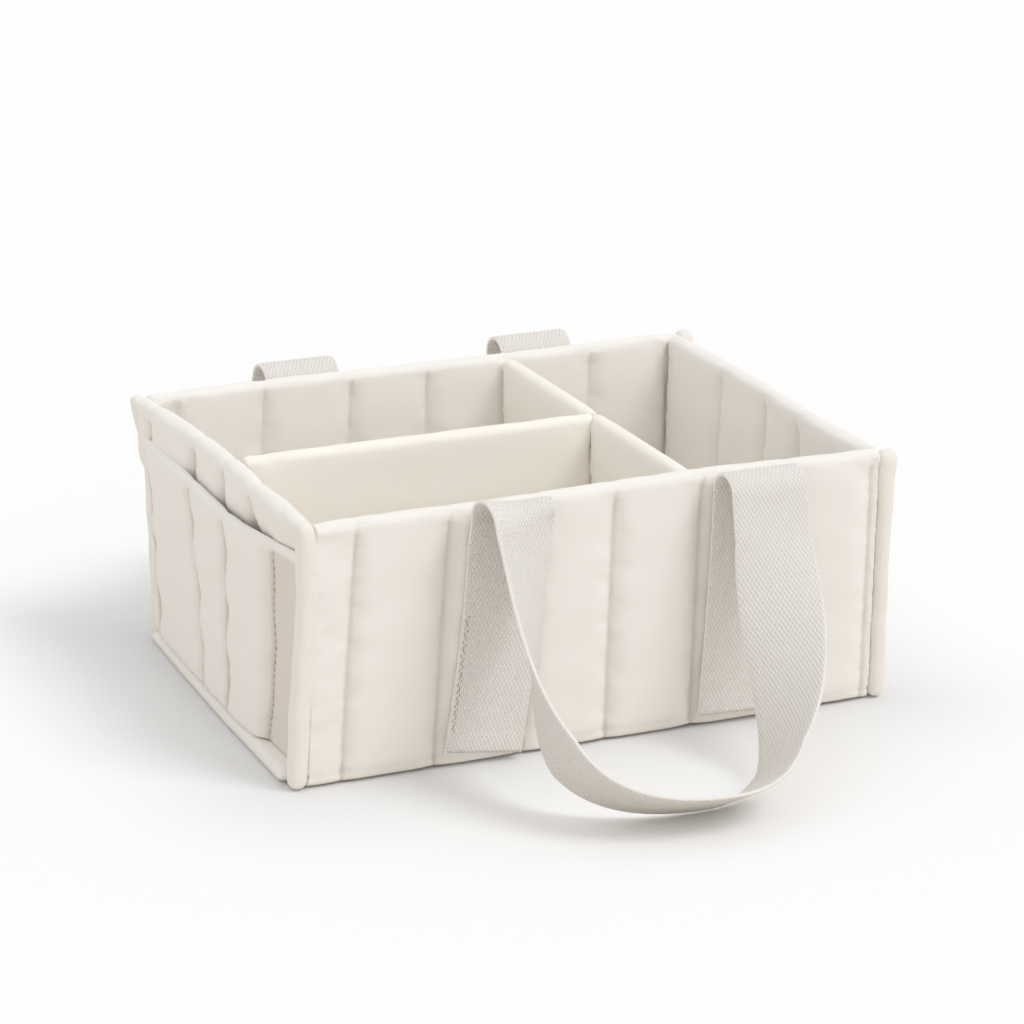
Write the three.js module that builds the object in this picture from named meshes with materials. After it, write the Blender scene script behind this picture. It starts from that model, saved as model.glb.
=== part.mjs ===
import * as THREE from 'three';

// A padded fabric storage basket: four quilted walls on a padded base, a slip pocket on each end,
// a lift-out divider of three padded leaves, and two carrying handles of cotton webbing.
// Sizes are in millimetres. X runs along the front wall, Y from front to back and Z up,
// and the origin is on the underside, at the centre of the walls.

// Body
const LENGTH_OVER_ROLLS = 390;
const DEPTH_OVER_WALLS = 272;
const RIM_HEIGHT = 160;
const WALL_THICKNESS = 13;
const HEM_LIFT = 0.5;
const PIECE_GAP = 0.3;

// Quilting: upright channels between straight seams, counted out from the middle of each wall
const QUILT_PITCH = 57;
const CHANNEL_DEPTH = 3;
const RIM_DIP = 2.5;
const FULL_CHANNEL_WIDTH = 40;
const NARROWEST_STRIP = 4;
const CHANNEL_FULLNESS = 0.6;

// Corner rolls: the seam allowance of the long walls, bound into an upright padded edge
const ROLL_WIDTH = 18;
const ROLL_THICKNESS = 13;
const ROLL_RISE = 3;
const ROLL_END_LENGTH = 7;
const ROLL_STAND_OUT = 14;

// Base
const BASE_THICKNESS = 10;
const BASE_LIP = 7;
const BASE_EDGE_RADIUS = 4;
const BASE_CORNER_RADIUS = 9;
const FLOOR_THICKNESS = 5;
const FLOOR_EDGE_RADIUS = 2;
const FLOOR_CORNER_RADIUS = 5;

// End pockets
const POCKET_THICKNESS = 5;
const POCKET_HEIGHT = 138;
const POCKET_MOUTH_DIP = 9;
const POCKET_GAPE = 9;
const POCKET_GAPE_CURVE = 1.5;
const POCKET_CHANNEL_DEPTH = 1.2;
const POCKET_MARGIN = 26;
const POCKET_MARGIN_THICKNESS = 3.6;

// Divider
const DIVIDER_X = 54;
const DIVIDER_Y = 0;
const DIVIDER_HEIGHT = 158;
const LEAF_THICKNESS = 12;
const LEAF_HEM_SHARE = 0.84;
const LEAF_END_GAP = 0.6;
const LEAF_END_LENGTH = 6;
const LEAF_END_THICKNESS = 5;
const LEAF_SEAM_THICKNESS = 2.4;
const LEAF_SEAM_DIP = 3;
const LEAF_TAPER_LENGTH = 11;
const SEAM_CORD_RADIUS = 2;

// Webbing handles
const WEBBING_WIDTH = 50;
const WEBBING_THICKNESS = 2.5;
const WEBBING_EDGE = 0.7;
const STRAP_CENTRE = 81;
const STRAP_FOOT = 12;
const FOLD_BELOW_RIM = 8;
const FOLD_RADIUS = 12;
const FOLD_TURN = 72;
const FOLD_CLEARANCE = 0.4;
const FOLD_END_SHARE = 0.7;
const HANDLE_REACH = 129;
const STRAND_DROP = 60;
const STRAND_STRAIGHT = 135;
const APEX_STRAIGHT = 95;
const APEX_LEAN = 29;
const TWIST_LENGTH = 165;

// Steps
const RIM_STEPS = 6;
const HEM_STEPS = 3;
const POCKET_ROWS = 5;
const LEAF_ROWS = 3;
const CHANNEL_STEPS = [0, 0.1, 0.26, 0.5, 0.74, 0.9];
const STRIP_STEPS = [0, 0.5];
const ROLL_POINTS = 12;
const STRAND_STEPS = 24;
const FOLD_STEPS = 4;
const EDGE_STEPS = 3;
const NUB_ANGLES = [78, 55, 30, 0];
const LEAF_END_ANGLES = [0, 40, 75];
const STRAP_END_ANGLES = [78, 50, 25];

// Places shared by the pieces that meet there
const HALF_LENGTH = LENGTH_OVER_ROLLS / 2;
const HALF_DEPTH = DEPTH_OVER_WALLS / 2;
const LONG_WALL_Y = HALF_DEPTH - WALL_THICKNESS / 2;
const LONG_WALL_HALF = HALF_LENGTH - ROLL_WIDTH - PIECE_GAP;
const INSIDE_Y = HALF_DEPTH - WALL_THICKNESS - PIECE_GAP;
const ROLL_X = HALF_LENGTH - ROLL_WIDTH / 2;
const END_WALL_OUTSIDE = HALF_LENGTH - ROLL_STAND_OUT;
const END_WALL_X = END_WALL_OUTSIDE - WALL_THICKNESS / 2;
const INSIDE_X = END_WALL_OUTSIDE - WALL_THICKNESS - PIECE_GAP;
const END_WALL_BOTTOM = BASE_THICKNESS + PIECE_GAP;
const FLOOR_TOP = BASE_THICKNESS + PIECE_GAP + FLOOR_THICKNESS;
const LEAF_BOTTOM = FLOOR_TOP + PIECE_GAP;

function solid(rings, centreFirst, centreLast) {
  const size = rings[0].length;
  const points = rings.flat();
  const first = points.length;
  points.push(centreFirst, centreLast);
  const faces = [];
  for (let ring = 0; ring + 1 < rings.length; ring += 1) {
    for (let k = 0; k < size; k += 1) {
      const a = ring * size + k;
      const b = ring * size + ((k + 1) % size);
      faces.push(a, b, b + size);
      faces.push(a, b + size, a + size);
    }
  }
  const last = (rings.length - 1) * size;
  for (let k = 0; k < size; k += 1) {
    const next = (k + 1) % size;
    faces.push(first, next, k);
    faces.push(first + 1, last + k, last + next);
  }
  let volume = 0;
  const cross = new THREE.Vector3();
  for (let i = 0; i < faces.length; i += 3) {
    cross.crossVectors(points[faces[i + 1]], points[faces[i + 2]]);
    volume += points[faces[i]].dot(cross);
  }
  if (volume < 0) {
    faces.reverse();
  }
  const geometry = new THREE.BufferGeometry();
  geometry.setFromPoints(points);
  geometry.setIndex(faces);
  geometry.computeVertexNormals();
  return geometry;
}

function middle(points) {
  const sum = new THREE.Vector3();
  for (const point of points) {
    sum.add(point);
  }
  return sum.divideScalar(points.length);
}

// A row of closed rings with the same number of points, skinned and closed at both ends
function loft(rings) {
  return solid(rings, middle(rings[0]), middle(rings[rings.length - 1]));
}

// The upright section of a padded panel, with a round rim and a round hem, as offsets and heights
function paddedSection(half, bottom, top, rows) {
  const section = [];
  const low = bottom + half;
  const high = top - half;
  for (let i = 0; i <= rows; i += 1) {
    section.push([half, THREE.MathUtils.lerp(low, high, i / rows)]);
  }
  for (let i = 1; i < RIM_STEPS; i += 1) {
    const angle = (Math.PI * i) / RIM_STEPS;
    section.push([half * Math.cos(angle), high + half * Math.sin(angle)]);
  }
  for (let i = rows; i >= 0; i -= 1) {
    section.push([-half, THREE.MathUtils.lerp(low, high, i / rows)]);
  }
  for (let i = 1; i < HEM_STEPS; i += 1) {
    const angle = Math.PI + (Math.PI * i) / HEM_STEPS;
    section.push([half * Math.cos(angle), low + half * Math.sin(angle)]);
  }
  return section;
}

// Seams stand at whole pitches from the middle, as far as a strip is left beside the panel's end
function seamPlaces(halfSpan) {
  const seams = [0];
  for (let at = QUILT_PITCH; at <= halfSpan - NARROWEST_STRIP; at += QUILT_PITCH) {
    seams.unshift(-at);
    seams.push(at);
  }
  return seams;
}

// Where a quilted panel is cut into rings, and how full the padding stands at each
function quiltStations(places) {
  const stations = [];
  for (let i = 0; i + 1 < places.length; i += 1) {
    const width = places[i + 1] - places[i];
    const steps = width < FULL_CHANNEL_WIDTH / 2 ? STRIP_STEPS : CHANNEL_STEPS;
    const fullness = Math.min(1, width / FULL_CHANNEL_WIDTH);
    for (const step of steps) {
      const crown = Math.pow(Math.sin(Math.PI * step), CHANNEL_FULLNESS);
      stations.push({ at: places[i] + width * step, crown: crown * fullness });
    }
  }
  stations.push({ at: places[places.length - 1], crown: 0 });
  return stations;
}

// A quilted wall: place turns a position along it, an offset outwards and a height into a point
function quiltedWall(halfSpan, bottom, place) {
  const places = [-halfSpan, ...seamPlaces(halfSpan), halfSpan];
  const rings = quiltStations(places).map(({ at, crown }) => {
    const half = WALL_THICKNESS / 2 - CHANNEL_DEPTH * (1 - crown);
    const top = RIM_HEIGHT - RIM_DIP * (1 - crown);
    return paddedSection(half, bottom, top, 1).map(([out, z]) => place(at, out, z));
  });
  return loft(rings);
}

function longWall(side) {
  const place = (x, out, z) => new THREE.Vector3(x, side * (LONG_WALL_Y + out), z);
  return quiltedWall(LONG_WALL_HALF, HEM_LIFT, place);
}

function endWall(side) {
  const place = (y, out, z) => new THREE.Vector3(side * (END_WALL_X + out), y, z);
  return quiltedWall(INSIDE_Y, END_WALL_BOTTOM, place);
}

// The pocket hangs on its flat stitched margins and on the base seam, and its mouth stands open
function pocketPanel(side) {
  const stitched = INSIDE_Y - POCKET_MARGIN;
  const seams = seamPlaces(stitched);
  const places = [-INSIDE_Y, -stitched, ...seams, stitched, INSIDE_Y];
  const bottom = END_WALL_BOTTOM;
  const rings = quiltStations(places).map(({ at, crown }) => {
    const inField = Math.abs(at) < stitched;
    const thickness = inField ? POCKET_THICKNESS : POCKET_MARGIN_THICKNESS;
    const drawn = inField ? POCKET_CHANNEL_DEPTH * (1 - crown) : 0;
    const half = thickness / 2 - drawn;
    const across = 1 - (at / INSIDE_Y) ** 2;
    const top = POCKET_HEIGHT - POCKET_MOUTH_DIP * across;
    const open = inField ? 1 - (at / stitched) ** 2 : 0;
    return paddedSection(half, bottom, top, POCKET_ROWS).map(([out, z]) => {
      const up = (z - bottom) / (top - bottom);
      const gape = POCKET_GAPE * open * Math.pow(Math.max(0, up), POCKET_GAPE_CURVE);
      const x = END_WALL_OUTSIDE + PIECE_GAP + thickness / 2 + out + gape;
      return new THREE.Vector3(side * x, at, z);
    });
  });
  return loft(rings);
}

// An upright padded edge: a flattened tube, drawn in to a soft nub at both ends
function cornerRoll() {
  const low = HEM_LIFT;
  const high = RIM_HEIGHT + ROLL_RISE;
  const rings = [];
  const levels = [];
  for (const angle of NUB_ANGLES) {
    const turn = THREE.MathUtils.degToRad(angle);
    levels.push([ROLL_END_LENGTH * (1 - Math.sin(turn)), Math.cos(turn)]);
  }
  const addRing = (z, share) => {
    const ring = [];
    for (let k = 0; k < ROLL_POINTS; k += 1) {
      const turn = (2 * Math.PI * (k + 0.5)) / ROLL_POINTS;
      const x = Math.sign(Math.cos(turn)) * Math.sqrt(Math.abs(Math.cos(turn)));
      const y = Math.sign(Math.sin(turn)) * Math.sqrt(Math.abs(Math.sin(turn)));
      const half = new THREE.Vector2(ROLL_WIDTH / 2, ROLL_THICKNESS / 2);
      ring.push(new THREE.Vector3(x * half.x * share, y * half.y * share, z));
    }
    rings.push(ring);
  };
  for (const [rise, share] of levels) {
    addRing(low + rise, share);
  }
  for (const [rise, share] of levels.reverse()) {
    addRing(high - rise, share);
  }
  return loft(rings);
}

function roundedRectangle(halfX, halfY, radius) {
  const shape = new THREE.Shape();
  shape.moveTo(-halfX + radius, -halfY);
  shape.lineTo(halfX - radius, -halfY);
  shape.absarc(halfX - radius, -halfY + radius, radius, -Math.PI / 2, 0);
  shape.lineTo(halfX, halfY - radius);
  shape.absarc(halfX - radius, halfY - radius, radius, 0, Math.PI / 2);
  shape.lineTo(-halfX + radius, halfY);
  shape.absarc(-halfX + radius, halfY - radius, radius, Math.PI / 2, Math.PI);
  shape.lineTo(-halfX, -halfY + radius);
  shape.absarc(-halfX + radius, -halfY + radius, radius, Math.PI, 1.5 * Math.PI);
  return shape;
}

// A flat pad with soft edges, lying with its underside at z = 0
function pad(halfX, halfY, thickness, cornerRadius, edgeRadius) {
  const outline = roundedRectangle(
    halfX - edgeRadius,
    halfY - edgeRadius,
    cornerRadius - edgeRadius,
  );
  const geometry = new THREE.ExtrudeGeometry(outline, {
    depth: thickness - 2 * edgeRadius,
    curveSegments: EDGE_STEPS,
    bevelEnabled: true,
    bevelSize: edgeRadius,
    bevelThickness: edgeRadius,
    bevelSegments: EDGE_STEPS,
  });
  geometry.translate(0, 0, edgeRadius);
  return geometry;
}

// A divider leaf, from the seam cord it hinges on to a soft end beside the wall, along +X
function dividerLeaf(reach) {
  const full = LEAF_THICKNESS / 2;
  const thin = LEAF_SEAM_THICKNESS / 2;
  const start = SEAM_CORD_RADIUS + PIECE_GAP;
  const stations = [
    { at: start, half: thin, dip: LEAF_SEAM_DIP },
    { at: start + LEAF_TAPER_LENGTH * 0.5, half: (full + thin) / 2, dip: LEAF_SEAM_DIP / 3 },
    { at: start + LEAF_TAPER_LENGTH, half: full, dip: 0 },
    { at: (start + reach) / 2, half: full, dip: 0 },
  ];
  for (const angle of LEAF_END_ANGLES) {
    const turn = THREE.MathUtils.degToRad(angle);
    const at = reach - LEAF_END_LENGTH * (1 - Math.sin(turn));
    const half = THREE.MathUtils.lerp(LEAF_END_THICKNESS / 2, full, Math.cos(turn));
    stations.push({ at, half, dip: 0 });
  }
  const rings = stations.map(({ at, half, dip }) => {
    const top = DIVIDER_HEIGHT - dip;
    return paddedSection(half, LEAF_BOTTOM, top, LEAF_ROWS).map(([out, z]) => {
      const up = (z - LEAF_BOTTOM) / (top - LEAF_BOTTOM);
      const crown = LEAF_HEM_SHARE + (1 - LEAF_HEM_SHARE) * Math.sin(Math.PI * up);
      return new THREE.Vector3(at, out * crown, z);
    });
  });
  return loft(rings);
}

function seamCord() {
  const height = DIVIDER_HEIGHT - LEAF_SEAM_DIP - LEAF_BOTTOM;
  const radius = SEAM_CORD_RADIUS;
  const geometry = new THREE.CylinderGeometry(radius, radius, height, ROLL_POINTS);
  geometry.rotateX(Math.PI / 2);
  geometry.translate(0, 0, LEAF_BOTTOM + height / 2);
  return geometry;
}

// Flat webbing along a row of frames: each has a point, a direction across, one out and a fullness
function webbing(frames) {
  const wide = WEBBING_WIDTH / 2;
  const thick = WEBBING_THICKNESS / 2;
  const edge = WEBBING_EDGE;
  const section = [
    [wide, -thick + edge],
    [wide, thick - edge],
    [wide - edge, thick],
    [edge - wide, thick],
    [-wide, thick - edge],
    [-wide, edge - thick],
    [edge - wide, -thick],
    [wide - edge, -thick],
  ];
  const rings = frames.map(({ point, across, out, share }) =>
    section.map(([a, b]) =>
      point.clone().addScaledVector(across, a).addScaledVector(out, b * share),
    ),
  );
  return loft(rings);
}

// Where the webbing folds over the rim, seen from the end: the wall lies towards -x here
const strapY = HALF_DEPTH + PIECE_GAP + WEBBING_THICKNESS / 2;
const foldBase = RIM_HEIGHT - FOLD_BELOW_RIM;
const foldTurn = THREE.MathUtils.degToRad(FOLD_TURN);
const legEndY = strapY + FOLD_RADIUS * (1 - Math.cos(foldTurn));
const legEndZ = foldBase + FOLD_RADIUS * Math.sin(foldTurn);
const hingeOffset = WEBBING_THICKNESS / 2 + FOLD_CLEARANCE;
const hingeY = legEndY + hingeOffset * Math.sin(foldTurn);
const hingeZ = legEndZ + hingeOffset * Math.cos(foldTurn);

// The sewn part of a handle, up the outside of a long wall and over the rim as far as the fold
function strapLeg() {
  const across = new THREE.Vector3(1, 0, 0);
  const frames = [];
  for (const z of [STRAP_FOOT, RIM_HEIGHT / 2, foldBase]) {
    const point = new THREE.Vector3(0, strapY, z);
    frames.push({ point, across, out: new THREE.Vector3(0, 1, 0), share: 1 });
  }
  for (let i = 1; i <= FOLD_STEPS; i += 1) {
    const turn = (foldTurn * i) / FOLD_STEPS;
    const out = new THREE.Vector3(0, Math.cos(turn), -Math.sin(turn));
    const point = new THREE.Vector3(0, strapY + FOLD_RADIUS, foldBase);
    point.addScaledVector(out, -FOLD_RADIUS);
    frames.push({ point, across, out, share: i === FOLD_STEPS ? FOLD_END_SHARE : 1 });
  }
  return webbing(frames);
}

// The free loop of a handle. It drops from the fold and slants out to the floor, and it twists by
// a quarter turn on its way down, so that at its middle it stands on its lower edge and leans out.
function handleLoop() {
  const lean = THREE.MathUtils.degToRad(APEX_LEAN);
  const drop = THREE.MathUtils.degToRad(STRAND_DROP);
  const wide = WEBBING_WIDTH / 2;
  const thick = WEBBING_THICKNESS / 2;
  const apexY = HALF_DEPTH + HANDLE_REACH;
  const apexZ = PIECE_GAP + wide * Math.sin(lean) + thick * Math.cos(lean);
  const flat = new THREE.Vector3(1, 0, 0);
  const leaning = new THREE.Vector3(0, Math.cos(lean), Math.sin(lean));
  const start = new THREE.Vector3(STRAP_CENTRE, hingeY, hingeZ);
  const away = new THREE.Vector3(0, Math.cos(drop), -Math.sin(drop));
  const strand = new THREE.CubicBezierCurve3(
    start,
    start.clone().addScaledVector(away, STRAND_STRAIGHT),
    new THREE.Vector3(APEX_STRAIGHT, apexY, apexZ),
    new THREE.Vector3(0, apexY, apexZ),
  );
  const length = strand.getLength();
  const right = [];
  for (let i = 0; i <= STRAND_STEPS; i += 1) {
    const share = i / STRAND_STEPS;
    const point = strand.getPointAt(share);
    const along = strand.getTangentAt(share);
    const twist = (Math.PI / 2) * Math.min(1, (share * length) / TWIST_LENGTH);
    const across = flat.clone().multiplyScalar(Math.cos(twist));
    across.addScaledVector(leaning, Math.sin(twist));
    across.addScaledVector(along, -across.dot(along)).normalize();
    const out = new THREE.Vector3().crossVectors(along, across);
    right.push({ point, across, out, along, share: 1 });
  }
  const ends = STRAP_END_ANGLES.map((angle) => {
    const turn = THREE.MathUtils.degToRad(angle);
    const back = (-WEBBING_THICKNESS / 2) * Math.sin(turn);
    const { point, across, out, along } = right[0];
    const place = point.clone().addScaledVector(along, back);
    return { point: place, across, out, share: Math.cos(turn) };
  });
  const half = [...ends, ...right];
  const mirrored = half.slice(0, -1).map(({ point, across, out, share }) => ({
    point: new THREE.Vector3(-point.x, point.y, point.z),
    across: new THREE.Vector3(-across.x, across.y, across.z),
    out: new THREE.Vector3(-out.x, out.y, out.z),
    share,
  }));
  return webbing([...half, ...mirrored.reverse()]);
}

const CREAM_FABRIC = 0xf3efe3;
const DIVIDER_FABRIC = 0xf4edd8;
const COTTON_WEBBING = 0xece7dc;

const basket = new THREE.Group();
basket.name = 'storage_basket';

function addMesh(parent, name, geometry, color) {
  const material = new THREE.MeshStandardMaterial({ color, roughness: 0.9, metalness: 0 });
  const mesh = new THREE.Mesh(geometry, material);
  mesh.name = name;
  parent.add(mesh);
  return mesh;
}

const basePad = pad(
  END_WALL_OUTSIDE + BASE_LIP,
  INSIDE_Y,
  BASE_THICKNESS,
  BASE_CORNER_RADIUS,
  BASE_EDGE_RADIUS,
);
addMesh(basket, 'base_panel', basePad, CREAM_FABRIC);

const floorPad = pad(
  INSIDE_X,
  INSIDE_Y,
  FLOOR_THICKNESS,
  FLOOR_CORNER_RADIUS,
  FLOOR_EDGE_RADIUS,
);
const floor = addMesh(basket, 'floor_pad', floorPad, CREAM_FABRIC);
floor.position.z = BASE_THICKNESS + PIECE_GAP;

addMesh(basket, 'front_wall', longWall(-1), CREAM_FABRIC);
addMesh(basket, 'back_wall', longWall(1), CREAM_FABRIC);
addMesh(basket, 'left_end_wall', endWall(-1), CREAM_FABRIC);
addMesh(basket, 'right_end_wall', endWall(1), CREAM_FABRIC);
addMesh(basket, 'left_pocket', pocketPanel(-1), CREAM_FABRIC);
addMesh(basket, 'right_pocket', pocketPanel(1), CREAM_FABRIC);

for (const [face, sideY] of [['front', -1], ['back', 1]]) {
  for (const [end, sideX] of [['left', -1], ['right', 1]]) {
    const roll = addMesh(basket, `${face}_${end}_corner_roll`, cornerRoll(), CREAM_FABRIC);
    roll.position.set(sideX * ROLL_X, sideY * LONG_WALL_Y, 0);
  }
}

// Each long side carries one handle: two sewn legs and the loop that swings on their folds
for (const [face, turn] of [['front', Math.PI], ['back', 0]]) {
  const group = new THREE.Group();
  group.rotation.z = turn;
  for (const [end, sideX] of [['left', -1], ['right', 1]]) {
    const leg = addMesh(group, `${face}_${end}_strap_leg`, strapLeg(), COTTON_WEBBING);
    leg.position.x = (turn === 0 ? sideX : -sideX) * STRAP_CENTRE;
  }
  addMesh(group, `${face}_handle_loop`, handleLoop(), COTTON_WEBBING);
  basket.add(group);
}

// The divider stands on the floor pad as a T, its three leaves sewn to one upright cord
const divider = new THREE.Group();
divider.position.set(DIVIDER_X, DIVIDER_Y, 0);
addMesh(divider, 'divider_seam', seamCord(), DIVIDER_FABRIC);
const leafEnd = LEAF_END_GAP - PIECE_GAP;
const leafSpans = [
  ['divider_back_leaf', Math.PI / 2, INSIDE_Y - leafEnd - DIVIDER_Y],
  ['divider_front_leaf', -Math.PI / 2, INSIDE_Y - leafEnd + DIVIDER_Y],
  ['divider_long_leaf', Math.PI, INSIDE_X - leafEnd + DIVIDER_X],
];
for (const [name, turn, reach] of leafSpans) {
  const leaf = addMesh(divider, name, dividerLeaf(reach), DIVIDER_FABRIC);
  leaf.rotation.z = turn;
}
basket.add(divider);

export default basket;
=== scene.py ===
# %% [markdown]
# # A padded fabric basket with a divider and webbing handles
#
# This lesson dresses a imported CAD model. The real basket is sewn from two layers of ivory cotton
# with wadding between them. Straight seams run from the rim to the hem and cut the wadding into
# upright channels, so every wall is a row of soft pillows. A slip pocket hangs on each end, a
# padded T stands inside, and cotton webbing makes the two handles.
#
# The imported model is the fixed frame: each piece made here stands where its solid stands.

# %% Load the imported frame
import math

import bpy
import numpy as np
from mathutils import Matrix, Vector


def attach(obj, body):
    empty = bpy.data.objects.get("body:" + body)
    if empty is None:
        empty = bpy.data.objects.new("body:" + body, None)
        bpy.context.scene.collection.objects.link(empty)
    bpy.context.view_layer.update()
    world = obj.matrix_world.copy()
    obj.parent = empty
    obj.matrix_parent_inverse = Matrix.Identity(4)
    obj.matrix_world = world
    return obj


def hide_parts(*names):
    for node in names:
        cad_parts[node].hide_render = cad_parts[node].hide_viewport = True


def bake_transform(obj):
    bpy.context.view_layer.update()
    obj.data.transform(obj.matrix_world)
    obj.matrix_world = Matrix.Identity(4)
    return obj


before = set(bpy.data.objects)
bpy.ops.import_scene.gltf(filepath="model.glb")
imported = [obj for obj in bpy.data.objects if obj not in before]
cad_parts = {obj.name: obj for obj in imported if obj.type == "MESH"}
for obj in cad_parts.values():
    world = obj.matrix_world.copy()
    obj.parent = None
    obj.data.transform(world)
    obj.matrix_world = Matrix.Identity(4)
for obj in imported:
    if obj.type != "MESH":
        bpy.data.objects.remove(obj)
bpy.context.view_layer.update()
MM = 0.001

# %% [markdown]
# ## The camera
#
# A product photograph of this kind is taken with a long lens from a few metres away, so that
# upright edges stay nearly parallel. The corners and seams of the basket gave the camera's place
# and its three angles. It looks down by about 19 degrees and leans by one degree.

# %% Place the camera
CAMERA_PLACE = (-1.0082, -2.0923, 0.8995)
CAMERA_YAW = 25.718
CAMERA_PITCH = 18.985
CAMERA_ROLL = 1.213
FOCAL_LENGTH = 141.89


def camera_axes(yaw, pitch, roll):
    """The camera's right, up and backward directions, from its angles in degrees."""
    yaw, pitch, roll = (math.radians(a) for a in (yaw, pitch, roll))
    ahead = Vector((math.sin(yaw) * math.cos(pitch), math.cos(yaw) * math.cos(pitch), -math.sin(pitch)))
    level = Vector((math.cos(yaw), -math.sin(yaw), 0.0))
    above = level.cross(ahead)
    right = math.cos(roll) * level + math.sin(roll) * above
    up = math.cos(roll) * above - math.sin(roll) * level
    return right, up, -ahead


def new_object(name, data):
    """An object around its data, put into the scene."""
    made = bpy.data.objects.new(name, data)
    bpy.context.scene.collection.objects.link(made)
    return made


right, up, back = camera_axes(CAMERA_YAW, CAMERA_PITCH, CAMERA_ROLL)
lens = bpy.data.cameras.new("photo_camera")
lens.sensor_width = 36.0
lens.lens = FOCAL_LENGTH
lens.clip_end = 100.0
camera = new_object("photo_camera", lens)
turn = Matrix((right, up, back)).transposed()
camera.matrix_world = Matrix.Translation(CAMERA_PLACE) @ turn.to_4x4()
bpy.context.scene.camera = camera
bpy.context.scene.view_settings.view_transform = "Standard"
print("camera stands", round((Vector(CAMERA_PLACE)).length, 2), "m from the basket")

# %% [markdown]
# ## Shader sums written as sums
#
# A material is a small program. Wrapping each socket in a class that knows +, - and * lets the
# sums be written as plain expressions, and one method makes every other node.

# %% A wrapper for sockets and a maker of finishes
class Value:
    """A number on its way through a material."""

    def __init__(self, tree, socket):
        self.tree, self.socket = tree, socket

    def _sum(self, operation, *others):
        node = self.tree.nodes.new("ShaderNodeMath")
        node.operation = operation
        for slot, value in zip(node.inputs, others):
            if isinstance(value, Value):
                self.tree.links.new(value.socket, slot)
            else:
                slot.default_value = value
        return Value(self.tree, node.outputs[0])

    def __add__(self, other):
        return self._sum("ADD", self, other)

    def __sub__(self, other):
        return self._sum("SUBTRACT", self, other)

    def __rsub__(self, other):
        return self._sum("SUBTRACT", other, self)

    def __mul__(self, other):
        return self._sum("MULTIPLY", self, other)

    __radd__, __rmul__ = __add__, __mul__

    def cosine(self):
        return self._sum("COSINE", self)

    def between(self, low, high):
        return self._sum("MINIMUM", self._sum("MAXIMUM", self, low), high)


def colour(code):
    """A screen colour such as 'e8e0d4' as the linear colour that a material takes."""
    parts = [int(code[i:i + 2], 16) / 255 for i in (0, 2, 4)]
    linear = [v / 12.92 if v <= 0.04045 else ((v + 0.055) / 1.055) ** 2.4 for v in parts]
    return (*linear, 1.0)


class Finish:
    """A material with a Principled shader, and one method for all its other nodes."""

    def __init__(self, name, roughness, sheen=0.0):
        self.material = bpy.data.materials.new(name)
        self.material.use_nodes = True
        self.tree = self.material.node_tree
        self.skin = self.tree.nodes["Principled BSDF"]
        self.skin.inputs["Roughness"].default_value = roughness
        self.skin.inputs["Sheen Weight"].default_value = sheen
        self.skin.inputs["Specular IOR Level"].default_value = 0.25

    def node(self, kind, settings=None, inputs=None, out=0):
        node = self.tree.nodes.new(kind)
        for key, value in (settings or {}).items():
            setattr(node, key, value)
        for key, value in (inputs or {}).items():
            if isinstance(value, Value):
                self.tree.links.new(value.socket, node.inputs[key])
            else:
                node.inputs[key].default_value = value
        return Value(self.tree, node.outputs[out])

    def place(self, scale=(1, 1, 1)):
        """Object coordinates in millimetres, stretched by scale."""
        there = self.node("ShaderNodeTexCoord", out="Object")
        size = tuple(s / MM for s in scale)
        return self.node("ShaderNodeMapping", inputs={"Vector": there, "Scale": size})

    def noise(self, size, detail=2.0, stretch=(1, 1, 1)):
        """A cloudy pattern whose patches are about size millimetres across."""
        scale = tuple(s / size for s in stretch)
        settings = {"noise_dimensions": "3D"}
        inputs = {"Vector": self.place(scale), "Scale": 1.0, "Detail": detail}
        return self.node("ShaderNodeTexNoise", settings, inputs, out="Fac")

    def mix(self, share, first, second):
        settings = {"data_type": "RGBA"}
        return self.node("ShaderNodeMix", settings, {0: share, 6: first, 7: second}, out=2)

    def relief(self, height, depth, below=None):
        """A bump whose full height is depth millimetres, on top of another bump."""
        inputs = {"Height": height, "Distance": depth * MM, "Strength": 1.0}
        if below is not None:
            inputs["Normal"] = below
        return self.node("ShaderNodeBump", inputs=inputs)

    def wear(self, **sockets):
        for name, value in sockets.items():
            self.tree.links.new(value.socket, self.skin.inputs[name.replace("_", " ")])
        return self.material


print("finish tools are ready")

# %% [markdown]
# ## The cotton of the walls
#
# The walls are covered in a smooth, matt, ivory cotton. From a step away it looks plain, but it is
# never quite even: the tone drifts a little where the wadding is thicker, slack cloth leaves soft
# upright ripples, and the thread itself makes a grain of about half a millimetre. Beside each seam
# a deeper cream is painted in as shade, and over the left pocket's flat margin too; an attribute
# of the mesh says where.

# %% Ivory cotton, for walls, pockets and base
# The colour of the painted shade laid into the creases beside the seams and over the pocket's flat margin.
SEAM_SHADE_COLOUR = "bba993"


def smooth_cotton(name, light, deep, ripple):
    """A matt cotton: light and deep are its two tones, ripple the height of its soft creases."""
    cloth = Finish(name, roughness=0.82, sheen=0.12)
    drift = cloth.noise(60.0, detail=3.0)
    slub = cloth.noise(2.2, detail=2.0, stretch=(1, 1, 0.25))
    tone = (drift * 0.75 + slub * 0.25 - 0.2).between(0.0, 1.0)
    shade = cloth.mix(tone, colour(deep), colour(light))
    # Painted shade: where the mesh's attribute says, the tone turns to the deeper seam colour.
    gathered = cloth.node("ShaderNodeAttribute", {"attribute_name": "gathered"}, out="Fac")
    shade = cloth.mix(gathered.between(0.0, 1.0), shade, colour(SEAM_SHADE_COLOUR))
    creases = cloth.noise(16.0, detail=2.0, stretch=(1, 1, 0.35))
    grain = cloth.noise(0.55, detail=1.0)
    bump = cloth.relief(creases, ripple)
    bump = cloth.relief(slub, 0.05, bump)
    bump = cloth.relief(grain, 0.035, bump)
    rough = cloth.noise(5.0) * 0.1 + 0.78
    return cloth.wear(Base_Color=shade, Normal=bump, Roughness=rough)


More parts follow.
